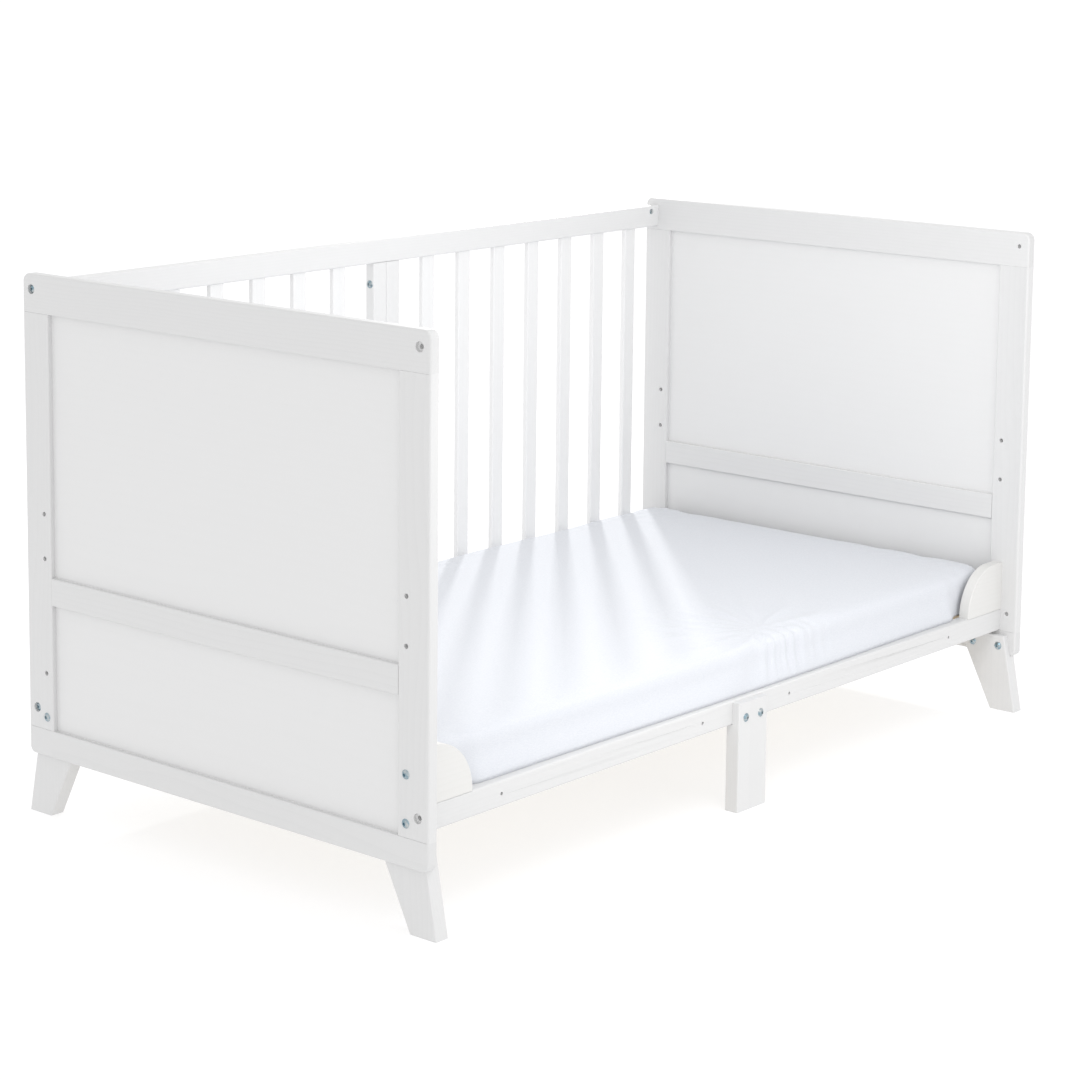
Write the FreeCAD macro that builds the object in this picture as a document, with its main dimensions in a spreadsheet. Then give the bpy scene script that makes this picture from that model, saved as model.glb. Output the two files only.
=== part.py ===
"""Slatted cot bed set up as a toddler bed: open front, barred back, two panelled end frames.

Millimetres, +Z up, +X along the bed, +Y towards the barred back.
The origin is on the floor under the middle of the bed.
"""
import FreeCAD, Part
import math
import os
import re
import Sketcher

# Driving sizes: name, value, meaning. Each becomes an aliased cell of the sheet.
SIZES = (
    ("inner_length", 1410, "clear length between the two end frames"),
    ("panel_width", 780, "width of an end frame"),
    ("overall_height", 790, "floor to the top of an end frame"),
    ("floor_gap", 90, "floor to the underside of an end frame"),
    ("frame_thickness", 18, "end frame rails and stiles"),
    ("top_rail_height", 55, "end frame top rail"),
    ("mid_rail_height", 40, "end frame middle rail"),
    ("mid_rail_level", 315, "floor to the underside of the middle rail"),
    ("bottom_rail_height", 40, "end frame bottom rail"),
    ("stile_width", 53, "end frame stile"),
    ("board_thickness", 4, "thin boards held in the end frame's grooves"),
    ("groove_depth", 8, "depth of the grooves for the thin boards"),
    ("board_play", 1, "gap between a board's edge and the groove's floor"),
    ("top_corner_radius", 12, "rounded upper corners of an end frame"),
    ("bottom_corner_radius", 10, "rounded lower corners of an end frame"),
    ("edge_radius", 3, "eased outer edges of the frames"),
    ("inner_edge_radius", 1.5, "eased inner edges of stiles and middle rails"),
    ("joint_bevel", 0.6, "fine bevel where a stile meets a rail"),
    ("side_thickness", 18, "rails and posts of the barred side"),
    ("side_inset", 9, "barred side in from the end frame's back edge"),
    ("side_top_drop", 12, "barred side's top below the end frame's top"),
    ("side_rail_height", 37, "top and bottom rails of the barred side"),
    ("side_level", 150, "floor to the underside of the barred side"),
    ("side_edge_radius", 2.5, "eased edges of the barred side"),
    ("post_width", 30, "post at the middle end of each half of the barred side"),
    ("slat_width", 28, "slat, seen from the front"),
    ("slat_thickness", 9, "slat, front to back"),
    ("slat_edge_radius", 2, "eased edges of a slat"),
    ("mortise_depth", 10, "depth that a slat's end goes into a rail"),
    ("base_level", 131, "floor to the underside of the base frame"),
    ("base_clearance", 2, "gap between the base frame and a barred side"),
    ("base_rail_thickness", 20, "long rails of the base frame, above the lip that carries the laths"),
    ("base_rail_height", 36, "long rails of the base frame"),
    ("cross_rail_thickness", 18, "cross rails of the base frame"),
    ("rail_hole_offset", 107, "inner pair of pilot holes from the middle of the bed"),
    ("rail_hole_spacing", 440, "pilot hole to pilot hole along a front rail"),
    ("rail_hole_diameter", 5, "pilot holes on the front rail's face"),
    ("rail_hole_depth", 12, "pilot holes on the front rail's face"),
    ("lath_width", 60, "lath that carries the mattress"),
    ("lath_thickness", 8, "lath that carries the mattress"),
    ("lath_bearing", 10, "width of the lip that a lath's end rests on"),
    ("lath_play", 0.5, "gap at each end of a lath"),
    ("guard_length", 100, "mattress guard, along the bed"),
    ("guard_height", 78, "mattress guard, above the base frame"),
    ("guard_thickness", 18, "mattress guard"),
    ("leg_height", 125, "floor to the top of a corner leg"),
    ("leg_lap", 12, "corner leg's thickness on the inner face of the bottom rail"),
    ("leg_under", 12, "depth that a corner leg reaches under the bottom rail"),
    ("foot_reach", 9, "a corner foot's outer edge beyond the end frame's edge"),
    ("foot_width", 46, "corner leg at the floor"),
    ("leg_top_inset", 15, "a corner leg's outer edge at its top, in from the end frame's edge"),
    ("leg_top_width", 85, "corner leg at its top"),
    ("leg_edge_radius", 2, "eased edges of the legs"),
    ("leg_bolt_level", 107.5, "floor to a corner leg's bolts"),
    ("leg_bolt_inset", 25, "outer leg bolt in from the end frame's edge"),
    ("leg_bolt_spacing", 48, "leg bolt to leg bolt"),
    ("middle_leg_width", 70, "support leg under the middle of the front"),
    ("middle_leg_front", 12, "support leg's thickness in front of the rail"),
    ("middle_leg_notch", 10, "depth of the notch that the rail sits in"),
    ("middle_leg_drop", 3, "support leg's top below the rail's top"),
    ("middle_bolt_spacing", 36, "support leg bolt to bolt"),
    ("middle_bolt_rise", 10, "support leg bolts above the rail's underside"),
    ("bolt_diameter", 6, "bolt shank"),
    ("bolt_hole_diameter", 7, "clearance hole of a bolt"),
    ("bolt_head_diameter", 13, "domed bolt head"),
    ("bolt_head_height", 3.2, "domed bolt head"),
    ("hex_socket_width", 4, "hexagon socket across its flats"),
    ("hex_socket_depth", 2, "hexagon socket"),
    ("counterbore_diameter", 14, "recess round the barred side's bolts"),
    ("counterbore_depth", 4, "recess round the barred side's bolts"),
    ("bolt_edge", 10, "barred side's bolts from the rail's outer edge"),
    ("frame_bolt_length", 58, "shank of the bolts through an end frame"),
    ("end_bore_depth", 45, "bolt hole in the end of a rail"),
    ("nut_setback", 20, "barrel nut from the end of its rail"),
    ("nut_diameter", 10, "barrel nut"),
    ("nut_length", 12, "barrel nut"),
    ("nut_play", 0.5, "gap between a barrel nut and its hole's floor"),
    ("guard_bolt_rise", 65, "guard's bolt above the base frame's bolt"),
    ("base_step", 233, "upper base height above the lower one"),
    ("joining_bolt_offset", 34, "post bolts from the nearer rail"),
    ("sleeve_diameter", 8, "sleeve nut's barrel"),
    ("sleeve_hole_diameter", 8.5, "hole for a sleeve nut"),
    ("joining_play", 4, "bolt's tip short of the sleeve nut's head"),
    ("joining_bolt_spread", 400, "bolt to bolt along the base frame's middle rails"),
    ("dowel_diameter", 8, "glued dowel"),
    ("dowel_length", 24, "glued dowel, half in each piece"),
    ("dowel_spread", 26, "dowel to dowel in a stile's end"),
    ("cross_dowel_level", 8, "cross rail dowels above the rail's underside"),
    ("mattress_thickness", 70, "mattress in its sheet"),
    ("mattress_end_gap", 5, "mattress to an end frame"),
    ("mattress_back_gap", 3, "mattress to the barred side"),
    ("mattress_front_gap", 3, "mattress to the guards"),
    ("mattress_corner_radius", 40, "mattress corners, seen from above"),
    ("mattress_edge_radius", 14, "mattress upper edge"),
    ("mattress_lower_radius", 5, "mattress lower edge"),
    ("sheet_thickness", 1.5, "fitted sheet"),
    ("sheet_tuck", 90, "width of the sheet's hem under the mattress"),
)
NAMES = {name for name, _, _ in SIZES}
SLATS_PER_HALF = 7
LATHS = 12
SIDES = (("left", -1), ("right", 1))
BACK_FRONT = (("front", -1), ("back", 1))

# Places that several pieces share, as formulas of the driving sizes.
HALF = "(inner_length / 2)"
EDGE_Y = "(panel_width / 2)"
SIDE_Y = f"({EDGE_Y} - side_inset - side_thickness)"
SIDE_BOLT_Y = f"({SIDE_Y} + side_thickness / 2)"
SIDE_TOP = "(overall_height - side_top_drop)"
SIDE_TOP_RAIL_Z = f"({SIDE_TOP} - side_rail_height)"
SLAT_Z = "(side_level + side_rail_height)"
BASE_Y = f"({SIDE_Y} - base_clearance)"
BASE_INNER_Y = f"({BASE_Y} - base_rail_thickness - lath_bearing)"
BASE_BOLT_Y = f"({BASE_Y} - base_rail_thickness / 2)"
BASE_BOLT_Z = "(base_level + base_rail_height / 2)"
BASE_TOP = "(base_level + base_rail_height)"
LATH_Z = f"({BASE_TOP} - lath_thickness)"
CROSS_RAIL_HEIGHT = "(base_rail_height - lath_thickness)"
STILE_Z = "(floor_gap + bottom_rail_height)"
TOP_RAIL_Z = "(overall_height - top_rail_height)"
SIDE_BOLT_LEVELS = ("(side_level + bolt_edge)", f"({SIDE_TOP} - bolt_edge)")
BASE_BOLT_LEVELS = (BASE_BOLT_Z, f"({BASE_BOLT_Z} + guard_bolt_rise)")
SPARE_BOLT_LEVELS = tuple(f"({level} + base_step)" for level in BASE_BOLT_LEVELS)
LEG_BORE = "(frame_thickness * 2 / 3)"
LEG_BOLT_OUTER = f"({EDGE_Y} - leg_bolt_inset)"
LEG_BOLT_INNER = f"({LEG_BOLT_OUTER} - leg_bolt_spacing)"
LEG_BOLT_PLACES = (f"-{LEG_BOLT_OUTER}", f"-{LEG_BOLT_INNER}", LEG_BOLT_INNER, LEG_BOLT_OUTER)
GUARD_BOLT_Z = f"({BASE_BOLT_LEVELS[1]} - {BASE_TOP})"
SLAT_GAP = f"(({HALF} - post_width - {SLATS_PER_HALF} * slat_width) / {SLATS_PER_HALF + 1})"
POST_BOLT_LEVELS = (
    f"({SLAT_Z} + joining_bolt_offset)",
    f"({SIDE_TOP_RAIL_Z} - joining_bolt_offset)",
)

doc = FreeCAD.newDocument("ToddlerBed")
sheet = doc.addObject("Spreadsheet::Sheet", "Sizes")
for row, (name, number, meaning) in enumerate(SIZES, 1):
    sheet.set(f"A{row}", name)
    sheet.set(f"B{row}", str(number))
    sheet.set(f"C{row}", meaning)
    sheet.setAlias(f"B{row}", name)
doc.recompute()

pieces = []

# The sketch plane square to each axis, and which way its normal points along that axis.
PLANES = {"X": ("YZ_Plane", 1), "Y": ("XZ_Plane", -1), "Z": ("XY_Plane", 1)}


def formula(text):
    """The text with the sheet's name in front of every size."""
    def link(match):
        word = match.group()
        return "Sizes." + word if word in NAMES else word
    return re.sub(r"[a-z_]+", link, text)


def value(text):
    """The number that a formula comes to."""
    return float(sheet.evalExpression(formula(text)))


def new_body(label, x="0", y="0", z="0"):
    """A named piece, placed by formulas."""
    body = doc.addObject("PartDesign::Body", label)
    body.Label = label
    for axis, text in zip("xyz", (x, y, z)):
        body.setExpression(f"Placement.Base.{axis}", formula(text))
    return body


def sketch_across(body, axis, at):
    """A sketch square to an axis of the piece, at a distance along it."""
    role, normal = PLANES[axis]
    sketch = body.newObject("Sketcher::SketchObject", body.Name + "_sketch")
    plane = next(item for item in body.Origin.OriginFeatures if item.Role == role)
    sketch.AttachmentSupport = [(plane, "")]
    sketch.MapMode = "FlatFace"
    sketch.setExpression("AttachmentOffset.Base.z", formula(f"{normal} * ({at})"))
    return sketch


def pin(sketch, item, point, x, y):
    """Ties a sketch point to two formulas, from the sketch's origin."""
    for kind, text in (("DistanceX", x), ("DistanceY", y)):
        number = sketch.addConstraint(
            Sketcher.Constraint(kind, -1, 1, item, point, value(text)))
        sketch.setExpression(f"Constraints[{number}]", formula(text))


def outline(sketch, corners):
    """A closed outline through corners given as pairs of formulas."""
    first = sketch.GeometryCount
    spots = [FreeCAD.Vector(value(x), value(y), 0) for x, y in corners]
    following = spots[1:] + spots[:1]
    for start, end in zip(spots, following):
        sketch.addGeometry(Part.LineSegment(start, end), False)
    count = len(spots)
    for index in range(count):
        after = first + (index + 1) % count
        sketch.addConstraint(Sketcher.Constraint("Coincident", first + index, 2, after, 1))
    for index, (x, y) in enumerate(corners):
        pin(sketch, first + index, 1, x, y)


def rectangle(sketch, x0, y0, x1, y1):
    """A rectangle between two opposite corners."""
    outline(sketch, ((x0, y0), (x1, y0), (x1, y1), (x0, y1)))


def circle(sketch, x, y, diameter):
    """A circle by its centre and its diameter."""
    centre = FreeCAD.Vector(value(x), value(y), 0)
    item = sketch.addGeometry(
        Part.Circle(centre, FreeCAD.Vector(0, 0, 1), value(diameter) / 2), False)
    pin(sketch, item, 3, x, y)
    number = sketch.addConstraint(Sketcher.Constraint("Diameter", item, value(diameter)))
    sketch.setExpression(f"Constraints[{number}]", formula(diameter))


def grow(body, axis, sketch, length):
    """Pads a sketch along an axis, towards plus."""
    pad = body.newObject("PartDesign::Pad", body.Name + "_pad")
    pad.Profile = sketch
    pad.setExpression("Length", formula(length))
    pad.Reversed = PLANES[axis][1] < 0
    doc.recompute()


def carve(body, axis, sketch, depth):
    """Pockets a sketch along an axis, towards plus, and checks that it took wood away."""
    before = body.Shape.Volume
    pocket = body.newObject("PartDesign::Pocket", body.Name + "_pocket")
    pocket.Profile = sketch
    pocket.Type = "Length"
    pocket.setExpression("Length", formula(depth))
    pocket.Reversed = PLANES[axis][1] > 0
    doc.recompute()
    if not body.Shape.Volume < before:
        raise RuntimeError(f"{body.Label}: a pocket cuts nothing")


def board(label, axis, spans, place):
    """A square-edged board. spans are its X, Y and Z sizes, and axis is the one it is padded along."""
    body = new_body(label, *place)
    sketch = sketch_across(body, axis, "0")
    across = [span for span, name in zip(spans, "XYZ") if name != axis]
    rectangle(sketch, "0", "0", *across)
    grow(body, axis, sketch, spans["XYZ".index(axis)])
    return body


def drill(body, axis, at, depth, diameter, spots):
    """Round holes along an axis, from a distance along it, at spots across it."""
    sketch = sketch_across(body, axis, at)
    for x, y in spots:
        circle(sketch, x, y, diameter)
    carve(body, axis, sketch, depth)


def slot(body, axis, at, depth, boxes):
    """Square holes along an axis, each given by two opposite corners across it."""
    sketch = sketch_across(body, axis, at)
    for box in boxes:
        rectangle(sketch, *box)
    carve(body, axis, sketch, depth)


def edge_names(body, wanted):
    """Names of the edges for which a test is true."""
    found = []
    for number, edge in enumerate(body.Tip.Shape.Edges, 1):
        if wanted(edge):
            found.append(f"Edge{number}")
    return found


def on_box_corner(body, axis, sides):
    """A test for straight edges along an axis on a corner of the piece's box."""
    box = body.Tip.Shape.BoundBox
    limits = {"X": (box.XMin, box.XMax), "Y": (box.YMin, box.YMax), "Z": (box.ZMin, box.ZMax)}

    def wanted(edge):
        spans = {"X": edge.BoundBox.XLength, "Y": edge.BoundBox.YLength, "Z": edge.BoundBox.ZLength}
        if spans[axis] < 1 or sum(spans.values()) - spans[axis] > 0.001:
            return False
        middle = edge.BoundBox.Center
        for name, place in zip("XYZ", middle):
            if name == axis:
                continue
            low, high = (abs(place - limit) < 0.001 for limit in limits[name])
            allowed = {"min": low, "max": high, None: low or high}[sides.get(name)]
            if not allowed:
                return False
        return True
    return wanted


def round_edges(body, radius, names, kind="PartDesign::Fillet"):
    """Rounds or bevels named edges of a piece."""
    if not names:
        raise RuntimeError(f"{body.Label}: no edge to ease")
    base = body.Tip
    feature = body.newObject(kind, body.Name + "_edge")
    feature.Base = (base, names)
    feature.setExpression("Size" if kind.endswith("Chamfer") else "Radius", formula(radius))
    doc.recompute()


def ease(body, axis, radius, **sides):
    """Rounds the long edges of a board that lie on the corners of its box."""
    round_edges(body, radius, edge_names(body, on_box_corner(body, axis, sides)))


def bevel_ends(body, level):
    """Bevels a stile's long end edges, top and bottom, where they meet the rails."""
    box = body.Tip.Shape.BoundBox

    def wanted(edge):
        flat = edge.BoundBox.ZLength < 0.001 and edge.BoundBox.XLength < 0.001
        outside = min(abs(edge.BoundBox.XMin - box.XMin), abs(edge.BoundBox.XMin - box.XMax)) < 0.001
        at_end = min(abs(edge.BoundBox.ZMin - limit) for limit in level) < 0.001
        return flat and outside and at_end and edge.Length > value("stile_width") / 2
    round_edges(body, "joint_bevel", edge_names(body, wanted), "PartDesign::Chamfer")


def finish(body):
    """Adds a piece to those that are written out."""
    pieces.append(body)
    return body


def outward(side, near_face, far_face):
    """The lower end of a span that grows away from the middle of the bed, on either side of it."""
    return near_face if side > 0 else f"-({far_face})"


def from_outside(side, distance, width):
    """A distance from a piece's outer face, measured from the piece's own low face."""
    return distance if side < 0 else f"({width} - ({distance}))"


# ---- end frames ----------------------------------------------------------------------------

GROOVE_LOW = "(frame_thickness / 2 - board_thickness / 2)"
GROOVE_HIGH = "(frame_thickness / 2 + board_thickness / 2)"
GROOVE_START = "(stile_width - groove_depth)"
GROOVE_END = "(panel_width - stile_width + groove_depth)"
OPENING = "(panel_width - 2 * stile_width)"


def ease_frame_rail(body, joint_z):
    """Eases both faces of an end frame's top or bottom rail all round, except along its joint."""
    box = body.Tip.Shape.BoundBox

    def wanted(edge):
        span = edge.BoundBox
        if span.XLength > 0.001 or edge.Closed:
            return False
        on_face = min(abs(span.XMin - box.XMin), abs(span.XMin - box.XMax)) < 0.001
        on_joint = span.ZLength < 0.001 and abs(span.ZMin - joint_z) < 0.001
        return on_face and not on_joint
    round_edges(body, "edge_radius", edge_names(body, wanted))


def frame_rail_dowels():
    """Where the dowels of both stiles meet an end frame's rail, across Z."""
    middles = ("(stile_width / 2)", "(panel_width - stile_width / 2)")
    offsets = ("(dowel_spread / 2)", "(-dowel_spread / 2)")
    return [("frame_thickness / 2", f"{middle} + {offset}") for middle in middles for offset in offsets]


def outer_bore(body, side, spots):
    """Bolt holes right through an end frame's piece, with a recess on its outer face."""
    drill(body, "X", "0", "frame_thickness", "bolt_hole_diameter", spots)
    start = "0" if side < 0 else "frame_thickness - counterbore_depth"
    drill(body, "X", start, "counterbore_depth", "counterbore_diameter", spots)


def top_rail(name, side):
    """End frame's top rail: rounded corners, groove, dowel holes and the barred sides' bolt holes."""
    x = outward(side, HALF, f"{HALF} + frame_thickness")
    spans = ("frame_thickness", "panel_width", "top_rail_height")
    body = board(f"{name}_top_rail", "X", spans, (x, f"-{EDGE_Y}", TOP_RAIL_Z))
    ease(body, "X", "top_corner_radius", Z="max")
    level = f"{SIDE_BOLT_LEVELS[1]} - {TOP_RAIL_Z}"
    outer_bore(body, side, [(f"{EDGE_Y} - {SIDE_BOLT_Y}", level), (f"{EDGE_Y} + {SIDE_BOLT_Y}", level)])
    slot(body, "Z", "0", "groove_depth",
         [(GROOVE_LOW, GROOVE_START, GROOVE_HIGH, GROOVE_END)])
    drill(body, "Z", "0", "dowel_length / 2", "dowel_diameter", frame_rail_dowels())
    ease_frame_rail(body, 0)
    return finish(body)


def bottom_rail(name, side):
    """End frame's bottom rail, which the corner legs are bolted to."""
    x = outward(side, HALF, f"{HALF} + frame_thickness")
    spans = ("frame_thickness", "panel_width", "bottom_rail_height")
    body = board(f"{name}_bottom_rail", "X", spans, (x, f"-{EDGE_Y}", "floor_gap"))
    ease(body, "X", "bottom_corner_radius", Z="min")
    slot(body, "Z", "bottom_rail_height - groove_depth", "groove_depth",
         [(GROOVE_LOW, GROOVE_START, GROOVE_HIGH, GROOVE_END)])
    drill(body, "Z", "bottom_rail_height - dowel_length / 2", "dowel_length / 2", "dowel_diameter",
          frame_rail_dowels())
    start = "0" if side > 0 else f"frame_thickness - ({LEG_BORE})"
    spots = [(f"{EDGE_Y} + {y}", "leg_bolt_level - floor_gap") for y in LEG_BOLT_PLACES]
    drill(body, "X", start, LEG_BORE, "bolt_diameter", spots)
    ease_frame_rail(body, value("bottom_rail_height"))
    return finish(body)


def stile(name, side, face, front):
    """End frame's stile with two base heights' bolt holes and one recessed hole near its outer edge."""
    x = outward(side, HALF, f"{HALF} + frame_thickness")
    y = outward(front, f"{EDGE_Y} - stile_width", EDGE_Y)
    height = f"({TOP_RAIL_Z} - {STILE_Z})"
    body = board(f"{name}_{face}_stile", "X", ("frame_thickness", "stile_width", height), (x, y, STILE_Z))
    base_line = from_outside(front, f"{EDGE_Y} - {BASE_BOLT_Y}", "stile_width")
    edge_line = from_outside(front, f"{EDGE_Y} - {SIDE_BOLT_Y}", "stile_width")
    levels = BASE_BOLT_LEVELS + SPARE_BOLT_LEVELS
    drill(body, "X", "0", "frame_thickness", "bolt_hole_diameter",
          [(base_line, f"{level} - {STILE_Z}") for level in levels])
    outer_bore(body, side, [(edge_line, f"{SIDE_BOLT_LEVELS[0]} - {STILE_Z}")])
    inner_edge = "stile_width - groove_depth" if front < 0 else "0"
    slot(body, "Y", inner_edge, "groove_depth", [(GROOVE_LOW, "0", GROOVE_HIGH, height)])
    middle = "stile_width / 2"
    spots = [("frame_thickness / 2", f"{middle} {sign} dowel_spread / 2") for sign in "+-"]
    drill(body, "Z", "0", "dowel_length / 2", "dowel_diameter", spots)
    drill(body, "Z", f"{height} - dowel_length / 2", "dowel_length / 2", "dowel_diameter", spots)
    start = "stile_width - dowel_length / 2" if front < 0 else "0"
    level = f"mid_rail_level + mid_rail_height / 2 - {STILE_Z}"
    drill(body, "Y", start, "dowel_length / 2", "dowel_diameter", [("frame_thickness / 2", level)])
    bevel_ends(body, (0, value(height)))
    outer, inner = ("min", "max") if front < 0 else ("max", "min")
    ease(body, "Z", "edge_radius", Y=outer)
    ease(body, "Z", "inner_edge_radius", Y=inner)
    return finish(body)


def mid_rail(name, side):
    """End frame's middle rail, grooved above and below."""
    x = outward(side, HALF, f"{HALF} + frame_thickness")
    spans = ("frame_thickness", OPENING, "mid_rail_height")
    body = board(f"{name}_mid_rail", "X", spans, (x, f"-{OPENING} / 2", "mid_rail_level"))
    groove = [(GROOVE_LOW, "0", GROOVE_HIGH, OPENING)]
    slot(body, "Z", "0", "groove_depth", groove)
    slot(body, "Z", "mid_rail_height - groove_depth", "groove_depth", groove)
    spot = [("frame_thickness / 2", "mid_rail_height / 2")]
    drill(body, "Y", "0", "dowel_length / 2", "dowel_diameter", spot)
    drill(body, "Y", f"{OPENING} - dowel_length / 2", "dowel_length / 2", "dowel_diameter", spot)
    ease(body, "Y", "inner_edge_radius")
    return finish(body)


def thin_board(name, label, side, low, high):
    """A thin board whose edges sit in the grooves of the frame round it."""
    x = outward(side, f"{HALF} + {GROOVE_LOW}", f"{HALF} + {GROOVE_HIGH}")
    tongue = "(groove_depth - board_play)"
    width = f"({OPENING} + 2 * {tongue})"
    height = f"({high} - ({low}) + 2 * {tongue})"
    spans = ("board_thickness", width, height)
    return finish(board(f"{name}_{label}_board", "X", spans, (x, f"-{width} / 2", f"{low} - {tongue}")))


def end_frame(name, side):
    """One end frame: three rails, two stiles and two thin boards."""
    top_rail(name, side)
    bottom_rail(name, side)
    mid_rail(name, side)
    for face, front in BACK_FRONT:
        stile(name, side, face, front)
    thin_board(name, "lower", side, STILE_Z, "mid_rail_level")
    thin_board(name, "upper", side, "mid_rail_level + mid_rail_height", TOP_RAIL_Z)


# ---- legs ----------------------------------------------------------------------------------

def corner_leg(name, side, face, front):
    """Splayed, tapered leg under an end frame's bottom rail, with a lap that is bolted to its inner face."""
    thickness = "(leg_lap + leg_under)"
    x = outward(side, f"{HALF} - leg_lap", f"{HALF} + leg_under")
    body = new_body(f"{name}_{face}_leg", x)
    sketch = sketch_across(body, "X", "0")
    foot_outer = f"({EDGE_Y} + foot_reach)"
    top_outer = f"({EDGE_Y} - leg_top_inset)"
    profile = (
        (f"({foot_outer} - foot_width)", "0"),
        (foot_outer, "0"),
        (top_outer, "leg_height"),
        (f"({top_outer} - leg_top_width)", "leg_height"),
    )
    outline(sketch, [(f"{front} * {y}", z) for y, z in profile])
    grow(body, "X", sketch, thickness)
    rebate = sketch_across(body, "X", "leg_lap" if side > 0 else "0")
    ends = sorted((f"{front} * {foot_outer}", f"{front} * ({top_outer} - leg_top_width)"), key=value)
    rectangle(rebate, ends[0], "floor_gap", ends[1], "leg_height")
    carve(body, "X", rebate, "leg_under")
    spots = [(f"{front} * {y}", "leg_bolt_level") for y in (LEG_BOLT_OUTER, LEG_BOLT_INNER)]
    drill(body, "X", "0", thickness, "bolt_hole_diameter", spots)
    box = body.Tip.Shape.BoundBox
    inner_x, outer_x = (box.XMax, box.XMin) if side < 0 else (box.XMin, box.XMax)

    def on_faces(edge):
        span = edge.BoundBox
        if span.XLength > 0.001 or edge.Closed or span.ZMax < 0.001:
            return False
        under_rail = abs(span.XMin - outer_x) < 0.001 and span.ZLength > 0.001
        return under_rail or abs(span.XMin - inner_x) < 0.001
    round_edges(body, "leg_edge_radius", edge_names(body, on_faces))
    return finish(body)


def middle_leg():
    """Support leg under the middle of the front, notched for the rail that it carries."""
    body = new_body("middle_leg", "-middle_leg_width / 2")
    sketch = sketch_across(body, "X", "0")
    front = f"-({BASE_Y} + middle_leg_front)"
    back = f"-({BASE_Y} - middle_leg_notch)"
    top = f"({BASE_TOP} - middle_leg_drop)"
    outline(sketch, ((front, "0"), (back, "0"), (back, "base_level"), (f"-{BASE_Y}", "base_level"),
                     (f"-{BASE_Y}", top), (front, top)))
    grow(body, "X", sketch, "middle_leg_width")
    spots = [(f"middle_leg_width / 2 {sign} middle_bolt_spacing / 2", "base_level + middle_bolt_rise")
             for sign in "-+"]
    drill(body, "Y", front, "middle_leg_front", "bolt_hole_diameter", spots)
    ease(body, "Z", "leg_edge_radius", Y="min")
    return finish(body)


# ---- barred back side ----------------------------------------------------------------------

def half_x(side):
    """Where a half's pieces start along the bed."""
    return "0" if side > 0 else f"-{HALF}"


def along(side, distance):
    """A distance from the end frame, measured from the low end of a half's long piece."""
    return distance if side < 0 else f"({HALF} - ({distance}))"


def slat_middles(side):
    """Middle of each slat from the low end of its half's rail."""
    first = f"({SLAT_GAP} + slat_width / 2)"
    pitch = f"({SLAT_GAP} + slat_width)"
    return [along(side, f"{first} + {index} * {pitch}") for index in range(SLATS_PER_HALF)]


def nut_bore(body, thickness, opens, bolt_y, spot):
    """Hole across a rail for its barrel nut, from the face that it opens on (-1 low, 1 high)."""
    to_bolt = bolt_y if opens < 0 else f"{thickness} - ({bolt_y})"
    depth = f"({to_bolt} + nut_length / 2 + nut_play)"
    start = "0" if opens < 0 else f"{thickness} - {depth}"
    drill(body, "Y", start, depth, "nut_diameter", [spot])


def nut_and_bolt_bores(body, side, thickness, opens, bolt_y, bolt_z):
    """Bolt hole in a rail's end and the hole for its barrel nut across it."""
    start = "0" if side < 0 else f"{HALF} - end_bore_depth"
    drill(body, "X", start, "end_bore_depth", "bolt_hole_diameter", [(bolt_y, bolt_z)])
    nut_bore(body, thickness, opens, bolt_y, (along(side, "nut_setback"), bolt_z))


def side_rail(name, side, label, level, mortise_at, bolt_level):
    """Top or bottom rail of half of the barred side, with a mortise for each slat."""
    spans = (HALF, "side_thickness", "side_rail_height")
    body = board(f"side_{label}_rail_{name}", "Y", spans, (half_x(side), SIDE_Y, level))
    low = "(side_thickness / 2 - slat_thickness / 2)"
    boxes = [(f"{middle} - slat_width / 2", low, f"{middle} + slat_width / 2", f"{low} + slat_thickness")
             for middle in slat_middles(side)]
    slot(body, "Z", mortise_at, "mortise_depth", boxes)
    nut_and_bolt_bores(body, side, "side_thickness", -1, "side_thickness / 2", f"{bolt_level} - {level}")
    ease(body, "X", "side_edge_radius")
    return finish(body)


def side_post(name, side):
    """Post at the middle of the bed. The two halves are bolted together through their posts."""
    x = outward(side, "0", "post_width")
    height = f"({SIDE_TOP_RAIL_Z} - {SLAT_Z})"
    body = board(f"side_post_{name}", "Y", ("post_width", "side_thickness", height), (x, SIDE_Y, SLAT_Z))
    drill(body, "X", "0", "post_width", "sleeve_hole_diameter",
          [("side_thickness / 2", f"{level} - {SLAT_Z}") for level in POST_BOLT_LEVELS])
    ease(body, "Z", "side_edge_radius")
    return finish(body)


def side_slat(number, middle):
    """Flat slat whose ends sit in the rails' mortises."""
    height = f"({SIDE_TOP_RAIL_Z} - {SLAT_Z} + 2 * mortise_depth)"
    y = f"{SIDE_BOLT_Y} - slat_thickness / 2"
    place = (f"{middle} - slat_width / 2", y, f"{SLAT_Z} - mortise_depth")
    body = board(f"side_slat_{number:02d}", "Y", ("slat_width", "slat_thickness", height), place)
    ease(body, "Z", "slat_edge_radius")
    return finish(body)


def barred_side():
    """Back side in two halves, each with two rails, a post and its slats."""
    number = 0
    for name, side in SIDES:
        side_rail(name, side, "top", SIDE_TOP_RAIL_Z, "0", SIDE_BOLT_LEVELS[1])
        side_rail(name, side, "bottom", "side_level", "side_rail_height - mortise_depth", SIDE_BOLT_LEVELS[0])
        side_post(name, side)
        for middle in sorted((f"{half_x(side)} + {text}" for text in slat_middles(side)), key=value):
            number += 1
            side_slat(number, middle)


# ---- base frame ----------------------------------------------------------------------------

CROSS_X = {"end": f"({HALF} - cross_rail_thickness)", "middle": "0"}


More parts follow.
